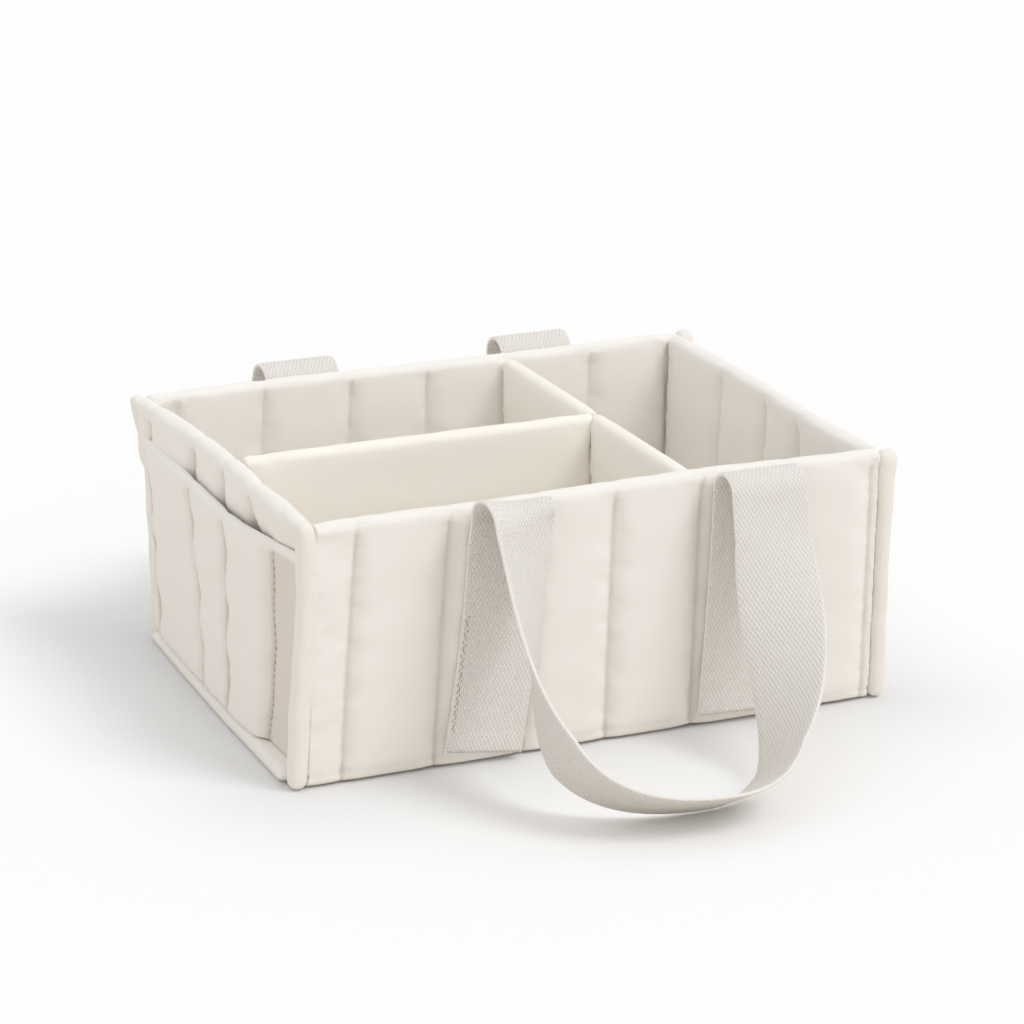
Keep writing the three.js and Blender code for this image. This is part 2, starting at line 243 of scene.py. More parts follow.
ivory_cotton = smooth_cotton("ivory_cotton", "fcf8f4", "f8f4ee", ripple=0.45)
bound_cotton = smooth_cotton("bound_cotton", "f9f5ef", "f5f0e8", ripple=0.3)
divider_cotton = smooth_cotton("divider_cotton", "fffcf5", "fef9ef", ripple=0.3)
print("cotton finishes:", ivory_cotton.name, bound_cotton.name, divider_cotton.name)

# %% [markdown]
# ## The weave of the webbing
#
# Cotton webbing is woven from thick soft yarns. Each yarn goes over one and under the next, so
# both faces show columns of little raised dots, set like bricks and drawn out on a slant. The
# pattern follows the band itself, so it is drawn on the band's own map: U counts millimetres
# across and V along it.

# %% Cotton webbing and sewing thread
DOT_ACROSS = 2.6
DOT_ALONG = 4.6
DOT_SLANT = 0.3


def woven_band(name, light, deep):
    """Webbing whose raised dots follow the map of the band, light on the dots and deep between them."""
    band = Finish(name, roughness=0.88, sheen=0.1)
    spot = band.node("ShaderNodeUVMap", {"uv_map": "band"})
    parts = band.node("ShaderNodeSeparateXYZ", inputs={0: spot})
    across, along = (Value(band.tree, out) * (1 / MM) for out in parts.socket.node.outputs[:2])
    wander = band.noise(6.0)
    turn = 2 * math.pi
    lean = (along * (2 * turn / DOT_ALONG) - turn / 4).cosine() * DOT_SLANT
    columns = ((across + lean) * (turn / DOT_ACROSS) + wander).cosine()
    rows = (along * (turn / DOT_ALONG) + wander).cosine()
    dots = (columns * rows + 0.46).between(0.0, 1.0)
    fuzz = band.noise(0.5, detail=3.0)
    drift = band.noise(22.0)
    tone = (dots * 0.75 + fuzz * 0.2 + drift * 0.2 + 0.1).between(0.0, 1.0)
    shade = band.mix(tone, colour(deep), colour(light))
    bump = band.relief(dots, 0.7)
    bump = band.relief(fuzz, 0.12, bump)
    return band.wear(Base_Color=shade, Normal=bump)


def spun_thread(name, light, deep):
    thread = Finish(name, roughness=0.7, sheen=0.1)
    twist = thread.noise(0.6, detail=1.0)
    shade = thread.mix(twist, colour(deep), colour(light))
    return thread.wear(Base_Color=shade, Normal=thread.relief(twist, 0.08))


cotton_webbing = woven_band("cotton_webbing", "fffdfb", "eee4d9")
# The margin and leg stitches are real stitches whose dark tone is partly painted shade, standing for the
# shaded gaps around them.
sewing_and_gap_shade = spun_thread("sewing_and_gap_shade", "b8a893", "9d8c76")
sewing_thread = spun_thread("sewing_thread", "f7f2e9", "e8e0d3")
selvage_yarn = spun_thread("selvage_yarn", "fbf8f4", "f2ece5")
print("webbing dots stand every", DOT_ACROSS, "by", DOT_ALONG, "mm")

# %% [markdown]
# ## Skins from rings
#
# Every padded piece here is a closed skin over a row of rings. A ring is one slice of the piece:
# it starts under the hem, climbs the outer face, rolls over the rim and comes down inside. The
# first and last slices are closed like a ladder, from outer face to inner face, so that the
# skin has no poles and takes a subdivision well.

# %% Skin a row of rings
def run_along(points):
    """How far along a line each of its points lies."""
    return np.concatenate([[0.0], np.cumsum(np.linalg.norm(np.diff(points, axis=0), axis=1))])


def skin(name, rings, finish):
    """A closed mesh over rings, an array of slices by points by xyz in mm, mapped in metres."""
    count, size = rings.shape[:2]
    index = np.arange(count * size).reshape(count, size)
    near, far = index[:-1], index[1:]
    sides = np.stack([near, np.roll(near, -1, 1), np.roll(far, -1, 1), far], -1)
    faces = [list(map(int, f)) for f in sides.reshape(-1, 4)]
    half = size // 2
    for end, flip in ((index[0], True), (index[-1], False)):
        ladder = [[end[0], end[1], end[-1]], [end[half - 1], end[half], end[half + 1]]]
        ladder += [[end[k], end[k + 1], end[size - k - 1], end[size - k]] for k in range(1, half - 1)]
        faces += [[int(i) for i in (f[::-1] if flip else f)] for f in ladder]
    points = rings.reshape(-1, 3) * MM
    mesh = bpy.data.meshes.new(name)
    mesh.from_pydata(points.tolist(), [], faces)
    volume = 0.0
    for f in faces[: (count - 1) * size]:
        a, b, c, d = (points[i] for i in f)
        volume += np.dot(a, np.cross(b, c)) + np.dot(a, np.cross(c, d))
    if volume < 0:
        mesh.flip_normals()
    along = run_along(rings.mean(1)) * MM
    girth = rings[count // 2]
    across = run_along(np.vstack([girth, girth[:1]])) * MM
    layer = mesh.uv_layers.new(name="band")
    for face in mesh.polygons:
        slots = [mesh.loops[i].vertex_index % size for i in face.loop_indices]
        wraps = face.index < (count - 1) * size and 0 in slots and size - 1 in slots
        for i, slot in zip(face.loop_indices, slots):
            row = mesh.loops[i].vertex_index // size
            layer.data[i].uv = (across[size if wraps and slot == 0 else slot], along[row])
    mesh.polygons.foreach_set("use_smooth", np.ones(len(mesh.polygons), bool))
    mesh.materials.append(finish)
    return new_object(name, mesh)


def vectors(items, name):
    """The named vector of each item of a mesh or an attribute, as rows."""
    flat = np.zeros(len(items) * 3, np.float32)
    items.foreach_get(name, flat)
    return flat.reshape(-1, 3)


def corners(piece):
    """All points of a piece, in mm."""
    return vectors(piece.data.vertices, "co").astype(float) / MM


def put_corners(piece, points):
    piece.data.vertices.foreach_set("co", (points * MM).astype(np.float32).ravel())
    piece.data.update()


def settled_mesh(piece):
    """Turns what the modifiers make of a piece into its plain mesh."""
    depsgraph = bpy.context.evaluated_depsgraph_get()
    made = bpy.data.meshes.new_from_object(piece.evaluated_get(depsgraph), depsgraph=depsgraph)
    name, old = piece.data.name, piece.data
    piece.modifiers.clear()
    piece.data = made
    bpy.data.meshes.remove(old)
    made.name = name
    return piece


def finer(piece):
    """One round of subdivision, made plain."""
    divide = piece.modifiers.new("finer", "SUBSURF")
    divide.levels = divide.render_levels = 1
    return settled_mesh(piece)


def wave(along, pitches, seed):
    """A smooth uneven line between about -1 and 1, the sum of a few waves with fixed phases."""
    total = np.zeros_like(np.asarray(along, float))
    for k, pitch in enumerate(pitches):
        total += np.sin(2 * np.pi * np.asarray(along) / pitch + 2.4 * seed + 1.7 * k * k) / len(pitches)
    return total


print("skin tools are ready")

# %% [markdown]
# ## Quilted panels
#
# A quilted wall is drawn first as it lies between its seams: thin at each seam and fuller between
# them. Where the seams stand at the hem and at the rim is taken from the real basket, which is
# hand-filled fabric and leans a little here and there. The slices stand about 5 mm apart.

# %% Draw a panel between its seams
SLICE_PITCH = 5.0
BESIDE_SEAM = 1.3
NEXT_TO_SEAM = 3.4
NARROW_STRIP = 11.0
FULL_STRIP = 24.0
END_EASE = 8.0
ROUND_CROWN = 0.93
SINE_CROWN = 0.07
RIM_ARC = 8
HEM_ARC = 4


def smooth(low, high, value):
    share = np.clip((value - low) / (high - low), 0, 1)
    return share * share * (3 - 2 * share)


def slices_between(knots, reach, ends):
    """Places along a panel: every knot, and slices between them. Also how full each one is.

    A slice stands close beside each seam, where the cloth turns over sharply, and a strip that is
    too narrow for a row of slices has one in its middle."""
    places, crowns, seams = [], [], []
    for k in range(len(knots) - 1):
        width = abs(knots[k + 1] - knots[k])
        count = max(2, round((width - 2 * NEXT_TO_SEAM) / SLICE_PITCH) + 1)
        middle = np.linspace(NEXT_TO_SEAM, width - NEXT_TO_SEAM, count)
        if width < NARROW_STRIP:
            middle = [width / 2]
        seams.append(len(places))
        for run in (0.0, BESIDE_SEAM, *middle, width - BESIDE_SEAM):
            near = min(1.0, min(run, width - run) / reach)
            arc = math.sqrt(1 - (1 - near) ** 2)
            swell = arc * ROUND_CROWN + math.sin(math.pi * run / width) * SINE_CROWN
            at = k + run / width
            edge = 1 - min(1.0, min(at, len(knots) - 1 - at) * width / END_EASE)
            places.append(at)
            crowns.append(max(swell * min(1.0, width / FULL_STRIP), ends * edge ** 0.5))
    seams.append(len(places))
    places.append(len(knots) - 1.0)
    crowns.append(ends)
    return np.array(places), np.array(crowns), seams


def slice_outline(half, rim_half, bottom, top, rows, stop):
    """One slice of a panel as offsets and heights: up the outer face, over the rim, down inside.

    Under the rim the slice opens to rim_half, because the seams stop short of the top edge."""
    low, high = bottom + half, top - rim_half
    heights = low + (high - low) * np.arange(rows + 1) / rows
    open_to = half + (rim_half - half) * smooth(high - stop, high, heights)
    outer = list(zip(open_to, heights))
    rim_turn = np.pi * np.arange(1, RIM_ARC) / RIM_ARC
    rim = [(rim_half * math.cos(a), high + rim_half * math.sin(a)) for a in rim_turn]
    inner = list(zip(-open_to[::-1], heights[::-1]))
    hem_turn = np.pi * (1 + np.arange(1, HEM_ARC) / HEM_ARC)
    hem = [(half * math.cos(a), low + half * math.sin(a)) for a in hem_turn]
    ring = outer + rim + inner + hem
    start = len(ring) - HEM_ARC // 2
    return np.array(ring[start:] + ring[:start])


DRAWN = 0.92
FLAT_CROWN = 0.2
FLAT_RIM = 0.5
HEM_TUCK = 0.8
SEAM_CREASE = 0.85


class Panel:
    """A quilted panel in the making: its slices, its seams and where its faces look.

    It is drawn to most of its thickness, and the channels listed in flat get nearly no wadding."""

    def __init__(self, name, knots, thick, thin, bottom, top, place,
                 notch=0.7, rise=0.25, flat=(), round_rim=0.8, reach=14.0, ends=0.0,
                 stop=8.0, pull=0.25, finish=ivory_cotton):
        self.name, self.place, self.full, self.rise, self.flat = name, place, thick / 2, rise, flat
        self.stop, self.pull = stop, pull
        self.at, self.crown, self.seams = slices_between(knots, reach, ends)
        self.top = top if callable(top) else (lambda at: top)
        rows = max(6, round((self.top(0) - bottom) / SLICE_PITCH))
        rings = []
        for at, crown in zip(self.at, self.crown):
            crown = crown * (FLAT_CROWN if int(at) in flat else 1.0)
            half = thin / 2 + (thick - thin) / 2 * DRAWN * crown
            open_rim = thick / 2 * (round_rim + (DRAWN - round_rim) * crown)
            rim_half = max(half, open_rim * (FLAT_RIM if int(at) in flat else 1.0))
            low = bottom + (HEM_TUCK * (1 - crown) if bottom < 1 else 0.0)
            outline = slice_outline(half, rim_half, low, self.top(at) - notch * (1 - crown), rows, stop)
            rings.append([(at, out, z) for out, z in outline])
        self.sheet = np.array(rings)
        self.size = self.sheet.shape[1]
        self.piece = skin(name, self.placed(self.sheet), finish)
        drawn = self.piece.data.attributes.new("drawn", "FLOAT_VECTOR", "POINT")
        drawn.data.foreach_set("vector", self.sheet.astype(np.float32).ravel())
        crease = self.piece.data.attributes.new("crease_edge", "FLOAT", "EDGE")
        sewn = set(self.seams[1:-1])
        heights = self.sheet[:, :, 2].ravel()
        values = []
        for edge in self.piece.data.edges:
            slices = {v // self.size for v in edge.vertices}
            below = max(heights[v] for v in edge.vertices) < self.top(0) - self.full - stop
            values.append(SEAM_CREASE if len(slices) == 1 and slices <= sewn and below else 0.0)
        crease.data.foreach_set("value", values)

    def placed(self, sheet):
        """Points of the drawn panel, moved to where they stand on the basket."""
        flat = sheet.reshape(-1, 3)
        x, y, z = self.place(flat[:, 0], flat[:, 1], flat[:, 2])
        return np.stack([x, y, z], -1).reshape(sheet.shape)

    def seam_points(self, hem=None):
        """Indices of the points that sewing holds still: seams, both ends and a hem line."""
        index = np.arange(len(self.at) * self.size).reshape(-1, self.size)
        held = [*index[self.seams].ravel()]
        for channel in self.flat:
            held += [*index[self.seams[channel]:self.seams[channel + 1]].ravel()]
        if hem is not None:
            flat = self.sheet.reshape(-1, 3)
            held += [*np.flatnonzero(np.abs(flat[:, 2] - hem) < SLICE_PITCH * 0.3)]
        return sorted(set(int(i) for i in held))


def spread(values, stations=None):
    """A function that reads a row of values between its stations, or else between 0, 1, 2 and so on."""
    stations = np.arange(len(values)) if stations is None else stations
    return lambda at: np.interp(at, stations, values)


print("panels are drawn with slices", SLICE_PITCH, "mm apart")

# %% [markdown]
# ## The two long walls
#
# The front and back walls carry seven seams each. On the real basket the left part of the front
# wall leans to the right at its rim, by about a centimetre, and the rim rises and dips by a
# millimetre or two between the handles.

# %% Front and back wall
HEM_LIFT = 0.5
WALL = 13.0
SEAM = 2.6
LONG_Y = 129.5
RIM = 160.0
LEAN_CURVE = 1.15


def long_wall(name, side, foot, rim, crest):
    foot_x, rim_x, rise = spread(foot), spread(rim), spread(crest)

    def place(at, out, z):
        up = np.clip(z / RIM, 0, 1)
        lean = rim_x(at) - foot_x(at)
        return foot_x(at) + lean * up ** LEAN_CURVE, side * (LONG_Y + out), z

    return Panel(name, foot, WALL, SEAM, HEM_LIFT, rise, place, round_rim=0.7, stop=4.0, pull=0.2, ends=0.6)


front_wall = long_wall(
    "front_wall_quilted", -1,
    foot=(-190.0, -168.8, -110.5, -55.2, -0.7, 56.5, 113.5, 172.0, 177.8),
    rim=(-185.5, -160.3, -102.6, -50.5, 1.5, 58.5, 115.0, 171.5, 177.2),
    crest=(158.8, 159.6, 159.4, 159.8, 160.8, 161.5, 160.2, 159.6, 159.0))
back_wall = long_wall(
    "back_wall_quilted", 1,
    foot=(-178.0, -170.0, -114.0, -57.0, 0.0, 57.0, 114.0, 171.0, 177.8),
    rim=(-187.5, -169.0, -111.5, -53.0, -1.5, 57.5, 113.5, 170.0, 177.2),
    crest=(159.0, 159.8, 160.0, 159.8, 159.6, 159.2, 159.4, 159.8, 159.4))
print("front wall slices:", len(front_wall.at), "of", front_wall.size, "points")

# %% [markdown]
# ## The two end walls
#
# The end walls stand between the long ones. The left one shows best: above its pocket the rim
# bulges outwards in four puffy humps, and at its foot it spreads a little. Their seams don't
# share out evenly, and the channel nearest the front corner is the widest.

# %% Left and right end wall
END_BOTTOM = 10.3
FOOT_SPREAD = (10.0, 95.0)
RIM_FLARE = 36.0


def end_wall(name, side, seams, foot, waist, rim, start, notch):
    along, foot_x, waist_x, rim_x, start_z = (spread(row) for row in (seams, foot, waist, rim, start))

    def place(at, out, z):
        base = foot_x(at) + (waist_x(at) - foot_x(at)) * smooth(*FOOT_SPREAD, z)
        x = base + (rim_x(at) - waist_x(at)) * smooth(start_z(at), start_z(at) + RIM_FLARE, z)
        return side * (x + out), along(at), z

    return Panel(name, seams, WALL, SEAM, END_BOTTOM, RIM, place, notch, ends=0.8, pull=0.36)


left_end_wall = end_wall(
    "left_end_wall_quilted", -1,
    seams=(-124.6, -49.5, -1.5, 44.5, 108.0, 124.6),
    foot=(181.5, 184.5, 182.0, 179.0, 176.0, 175.0),
    waist=(175.5, 178.0, 178.0, 178.0, 179.0, 179.5),
    rim=(190.0, 187.5, 185.0, 185.5, 190.0, 191.0),
    start=(125.0, 114.0, 102.0, 99.0, 96.0, 92.0), notch=2.2)
right_end_wall = end_wall(
    "right_end_wall_quilted", 1,
    seams=(-124.6, -46.0, -1.5, 57.5, 124.6), foot=[174.5] * 5, waist=[174.5] * 5,
    rim=(175.0, 173.5, 176.0, 176.5, 174.5), start=[118.0] * 5, notch=1.2)
print("end wall slices:", len(left_end_wall.at), "of", left_end_wall.size, "points")

# %% [markdown]
# ## The pockets
#
# Each pocket is a thinner quilted panel laid on the end wall. It is sewn down along its ends and
# caught at the base, its top edge dips in the middle and stands away from the wall, and its seams
# run down to the base in slightly wavy lines.

# %% Left and right pocket
POCKET = 5.0
FULL_POCKET = 8.0
HALF_POCKET = 122.6
MOUTH = 126.0
POCKET_SAG = 2.0
SEAM_SWAY = 2.2


def pocket(name, side, seams, foot, mouth, top, thick, feet=None, stations=None, flat=()):
    """seams are read at the mouth and feet at the hem, where they stand the same if no feet are
    given. foot, mouth and top are read at stations, which count seams and may stand between them."""
    along, low_along = spread(seams), spread(feet or seams)
    foot_x, mouth_x, top_z = (spread(row, stations) for row in (foot, mouth, top))

    def place(at, out, z):
        share = along(at) / HALF_POCKET
        up = np.clip((z - END_BOTTOM) / (MOUTH - END_BOTTOM), 0, 1.15)
        inner = foot_x(at) + (mouth_x(at) - foot_x(at)) * up ** 1.2
        sag = POCKET_SAG * np.sin(np.pi * np.clip(up, 0, 1)) * (1 - share ** 4)
        wavy = SEAM_SWAY * wave(z + 40 * np.round(at), (88, 39), side) * (1 - share ** 6)
        y = along(at) + (low_along(at) - along(at)) * (1 - np.clip(up, 0, 1)) ** 2
        return side * (inner + out - sag), y + wavy, z

    return Panel(name, seams, thick, 1.6, END_BOTTOM, top_z, place, notch=0.4, rise=0.1, flat=flat,
                 round_rim=0.55, reach=11.0, ends=0.4, stop=5.0, pull=0.4)


left_pocket = pocket(
    "left_pocket_quilted", -1,
    seams=(-124.8, -83.0, -21.0, 32.0, 108.0, 124.8), feet=(-124.8, -81.0, -29.0, 12.0, 104.0, 124.8),
    stations=(0, 1, 1.15, 1.6, 2, 3, 4, 5),
    foot=(190.5, 190.5, 195.0, 196.0, 196.0, 193.5, 188.0, 183.5),
    mouth=(188.5, 189.5, 193.5, 195.0, 195.5, 195.5, 194.5, 189.5),
    top=(137.5, 134.0, 135.5, 134.0, 133.0, 136.5, 138.5, 139.5), thick=FULL_POCKET, flat=(0,))
right_pocket = pocket(
    "right_pocket_quilted", 1,
    seams=(-124.8, -98.0, -57.0, 0.0, 57.0, 98.0, 124.8), foot=[184.2] * 7,
    mouth=(184.4, 186.5, 190.5, 193.0, 190.5, 186.5, 184.4),
    top=(137.5, 133.5, 129.0, 126.5, 129.0, 133.5, 137.5), thick=POCKET)
print("pocket slices:", len(left_pocket.at), "of", left_pocket.size, "points")

# %% [markdown]
# ## The divider
#
# Three padded leaves are sewn to one upright seam and make a T. They have no quilting, so each is
# one soft pillow, pinched where it meets the seam. The cloth is a little yellower than the walls.

# %% The three leaves
DIVIDER = (54.0, 0.0)
LEAF = 12.0
LEAF_BOTTOM = 15.6
DIVIDER_TOP = 158.0
SEAM_CORD = 2.3
LEAF_FLARE = (105.0, 150.0)


def leaf(name, turn, reach, flare=0.0):
    knots = (SEAM_CORD, reach)
    cos, sin = math.cos(turn), math.sin(turn)

    def place(at, out, z):
        run = knots[0] + (knots[1] + flare * smooth(*LEAF_FLARE, z) - knots[0]) * at
        return DIVIDER[0] + run * cos - out * sin, DIVIDER[1] + run * sin + out * cos, z

    return Panel(name, knots, LEAF, 2.6, LEAF_BOTTOM, DIVIDER_TOP, place, notch=1.8, reach=7.0, ends=0.4,
                 finish=divider_cotton)


back_leaf = leaf("divider_back_leaf_padded", math.pi / 2, 122.3)
front_leaf = leaf("divider_front_leaf_padded", -math.pi / 2, 122.3)
long_leaf = leaf("divider_long_leaf_padded", math.pi, 221.3, flare=8.5)
print("long leaf slices:", len(long_leaf.at), "of", long_leaf.size, "points")

# %% [markdown]
# ## Filling the panels
#
# This is where cloth simulation earns its place. The sewing holds every seam still, pressure
# stands for the wadding, and the skin swells between the seams until it finds its own creases.
# Gravity is off, because wadding holds its shape in every direction.

# %% Simulate all panels together
PRESSURE = 6.0
PLAIN_PRESSURE = 1.2
SLACK = -0.012
FRAMES = 20
MOST_SWELL = 6.0
HEM_LINE = 6.5
SOFT_LIMIT = 0.3
RIM_ZONE = 22.0

panels = [front_wall, back_wall, left_end_wall, right_end_wall, left_pocket, right_pocket,
          back_leaf, front_leaf, long_leaf]


def sew_for_filling(panel, hem):
    """Adds the cloth to a panel, with its sewn points pinned."""
    piece = panel.piece
    held = piece.vertex_groups.new(name="sewn")
    held.add(panel.seam_points(hem), 1.0, "REPLACE")
    cloth = piece.modifiers.new("wadding", "CLOTH")
    cloth.settings.vertex_group_mass = "sewn"
    cloth.settings.quality = 5
    cloth.settings.mass = 0.2
    cloth.settings.tension_stiffness = 12.0
    cloth.settings.compression_stiffness = 12.0
    cloth.settings.shear_stiffness = 6.0
    cloth.settings.bending_stiffness = 0.4
    cloth.settings.shrink_min = SLACK
    cloth.settings.use_pressure = True
    cloth.settings.uniform_pressure_force = PRESSURE if len(panel.seams) > 2 else PLAIN_PRESSURE
    cloth.settings.effector_weights.gravity = 0.0
    cloth.collision_settings.use_collision = False
    cloth.point_cache.frame_start, cloth.point_cache.frame_end = 1, FRAMES


def kept_inside(panel, start, move):
    """Holds a swollen panel inside the thickness of its CAD solid, with a soft limit."""
    ahead = panel.sheet + np.array([0.0, 1.0, 0.0])
    outward = (panel.placed(ahead) - panel.placed(panel.sheet)).reshape(-1, 3)
    drawn = panel.sheet.reshape(-1, 3)[:, 1]
    out = drawn + (move * outward).sum(1)
    ease = SOFT_LIMIT * panel.full
    past = np.maximum(0.0, np.abs(out) - (panel.full - ease))
    held = np.sign(out) * (np.minimum(np.abs(out), panel.full - ease) + ease * np.tanh(past / ease))
    points = start + move + outward * (held - out)[:, None]
    upper = start[:, 2] > panel.top(panel.sheet.reshape(-1, 3)[:, 0]) - RIM_ZONE
    growth = points[:, 2] - start[:, 2]
    points[:, 2] = start[:, 2] + np.where(upper, panel.rise * growth, growth)
    points[:, 2] = np.maximum(points[:, 2], HEM_LIFT)
    return points


def fill_panels(made):
    """Steps the simulation and keeps each panel's swollen points, capped."""
    for panel in made:
        long_side = panel.name.startswith(("front_wall", "back_wall"))
        sew_for_filling(panel, HEM_LINE if long_side else None)
    for step in range(1, FRAMES + 1):
        bpy.context.scene.frame_set(step)
    depsgraph = bpy.context.evaluated_depsgraph_get()
    for panel in made:
        swollen = vectors(panel.piece.evaluated_get(depsgraph).data.vertices, "co")
        start = corners(panel.piece)
        move = swollen / MM - start
        far = np.linalg.norm(move, axis=1, keepdims=True)
        move *= np.minimum(1.0, MOST_SWELL / np.maximum(far, 1e-9))
        panel.piece.modifiers.clear()
        panel.piece.vertex_groups.clear()
        put_corners(panel.piece, kept_inside(panel, start, move))
        most, mean = round(float(far.max()), 1), round(float(far.mean()), 2)
        print(panel.name, "swelled by up to", most, "mm, mean", mean)
    bpy.context.scene.frame_set(1)


fill_panels(panels)

# %% [markdown]
# ## Puckers along the seams
#
# Where a machine has sewn through wadding, the cloth gathers in short creases that run out from
# the seam for a few millimetres. The panels are subdivided once, and every point near a seam is
# drawn in by an uneven amount. The unevenness comes from a few waves with fixed phases. The same
# step marks where painted shade darkens the cotton's tone: close beside each seam, in a wider band
# on one side of it, less on the inner faces, and over the pocket's flat margin.

# %% Divide the panels and pucker their seams
PUCKER_DEPTH = 0.45
PUCKER_REACH = 7.0
PUCKER_PITCHES = (7.1, 4.9, 11.3)
HEM_GROOVE = 1.1
GROOVE_HEIGHT = 7.0
SOFT_SWELL = 0.35
# How much of the painted seam shade the inner faces take.
INSIDE_SHADE = 0.35
# How much painted shade lies over the pocket's flat margin, a strip recessed behind the corner roll.
MARGIN_SHADE = 0.33


def pucker(panel, seed):
    """Draws a panel in along its seams, and marks where painted shade darkens its cloth."""
    piece = finer(panel.piece)
    drawn = vectors(piece.data.attributes["drawn"].data, "vector")
    normals = vectors(piece.data.vertices, "normal")
    points = corners(piece)
    knots = np.arange(len(panel.seams)) * 1.0
    stands = np.stack(panel.place(knots, knots * 0.0, np.full(len(knots), RIM / 2)), -1)
    gaps = np.linalg.norm(np.diff(stands, axis=0), axis=1)
    cell = np.clip(drawn[:, 0].astype(int), 0, len(gaps) - 1)
    share = drawn[:, 0] - cell
    left, right = share * gaps[cell], (1 - share) * gaps[cell]
    near = np.minimum(left, right)
    height = drawn[:, 2] + 30 * cell + 50 * (right < left)
    uneven = wave(height, PUCKER_PITCHES, seed)
    depth = PUCKER_DEPTH * np.exp(-(near / PUCKER_REACH) ** 2) * (near > 0.3) * np.clip(uneven, -0.4, 1)
    if panel.name in ("front_wall_quilted", "back_wall_quilted"):
        depth = depth + HEM_GROOVE * np.exp(-((drawn[:, 2] - GROOVE_HEIGHT) / 1.5) ** 2)
    soft = SOFT_SWELL * wave(drawn[:, 2] + 23 * cell, (58, 33), seed + 1) * np.sin(np.pi * share)
    put_corners(piece, points + normals * (soft - depth)[:, None])
    below = drawn[:, 2] < panel.top(drawn[:, 0]) - panel.full - panel.stop * 0.4
    inner = (drawn[:, 0] > 0.5) & (drawn[:, 0] < len(gaps) - 0.5)
    outside = np.where(drawn[:, 1] > 0, 1.0, INSIDE_SHADE)
    # Painted shade: a narrow dark line along each seam, and a wider, weaker band on one side of it, where
    # the lamp leaves the slope in shade.
    shade_amount = panel.pull * np.exp(-(near / 1.3) ** 2) + 0.16 * np.exp(-(left / 6.0) ** 2)
    # The pocket's flat margin is painted darker all over, as shade for a strip recessed behind the roll.
    shade_amount = below * inner * outside * shade_amount + MARGIN_SHADE * np.isin(cell, panel.flat) * below
    gathered = piece.data.attributes.new("gathered", "FLOAT", "POINT")
    gathered.data.foreach_set("value", shade_amount.astype(np.float32))
    piece.data.attributes.remove(piece.data.attributes["drawn"])


for number, panel in enumerate(panels):
    pucker(panel, number)
print("points in all panels:", sum(len(p.piece.data.vertices) for p in panels))

# %% [markdown]
# ## Corner rolls
#
# At each corner the end of a long wall is turned and bound into an upright padded roll, which
# stands proud of the end wall. The rolls aren't straight: the left ones bow with the wall behind
# them. Each is a row of level slices whose edges are read from a few measured heights.

# %% Four corner rolls
ROLL_POINTS = 20
ROLL_SLICES = 40
ROLL_DEPTH = 13.0
ROLL_END = 6.0
ROLL_SWAY = 0.35
ROLL_PUFF = 0.035
ROLL_SQUARE = 0.8


def squared(value):
    """A sine or cosine drawn towards 1 or -1, which makes a round section a little square."""
    return math.copysign(abs(value) ** ROLL_SQUARE, value)


def corner_roll(name, side_x, side_y, top, seed, levels):
    """levels has rows of height, inner edge and outer edge, measured from the middle."""
    levels = np.array(levels)
    low = HEM_LIFT
    climb = np.arcsin(np.linspace(0.12, 1, 7)) / (np.pi / 2)
    ends = ROLL_END * climb
    body = np.linspace(low + ROLL_END, top - ROLL_END, ROLL_SLICES)[1:-1]
    heights = np.concatenate([low + ends, body, top - ends[::-1]])
    ease = np.minimum(1.0, np.minimum(heights - low, top - heights) / ROLL_END)
    share = np.sqrt(np.maximum(0.0, 1 - (1 - ease) ** 2))
    angles = 2 * np.pi * np.arange(ROLL_POINTS) / ROLL_POINTS
    rings = []
    for z, s in zip(heights, share):
        inner, outer = (np.interp(z, levels[:, 0], levels[:, k]) for k in (1, 2))
        half = (outer - inner) / 2
        x = (inner + outer) / 2 + ROLL_SWAY * wave(z, (47, 29), seed)
        deep = ROLL_DEPTH / 2 * s * (1 + ROLL_PUFF * wave(z + 9 * seed, (26, 15), seed))
        rings.append([(side_x * (x + half * s * squared(math.cos(a))),
                       side_y * (LONG_Y + deep * squared(math.sin(a))), z) for a in angles])
    return finer(skin(name, np.array(rings), bound_cotton))


rolls = [
    corner_roll("front_left_roll_soft", -1, -1, top=160.5, seed=1, levels=[
        (0, 190, 201), (55, 187, 199), (91, 184, 196.3),
        (115, 183.5, 195.3), (137, 183.5, 195.6), (160, 186, 196.8)]),
    corner_roll("front_right_roll_soft", 1, -1, top=158.0, seed=2, levels=[
        (0, 178, 189.5), (50, 177.8, 188.3), (90, 177.8, 187.8), (130, 177.5, 188.8), (160, 177.3, 190.5)]),
    corner_roll("back_left_roll_soft", -1, 1, top=159.5, seed=3, levels=[
        (0, 176.5, 186), (27, 176, 185.3), (55, 177, 186.3), (82, 178.5, 188),
        (109, 180, 188.6), (130, 183, 192), (160, 188.5, 199.5)]),
    corner_roll("back_right_roll_soft", 1, 1, top=160.8, seed=4, levels=[
        (0, 178, 189.5), (90, 178, 188.5), (160, 177.5, 189)])]
print("rolls:", [roll.name for roll in rolls])

# %% [markdown]
# ## Base and floor pad
#
# The base is a thin padded board cover. Its edge shows as a rolled strip under each pocket, and at
# the left end it spreads with the wall. The floor pad inside is quilted like the walls.

# %% Flat pads
PAD_SLICES = 45
PAD_POINTS = 70
EDGE_ARC = 5
QUILT_PITCH = 57.0
QUILT_GROOVE = 3.5


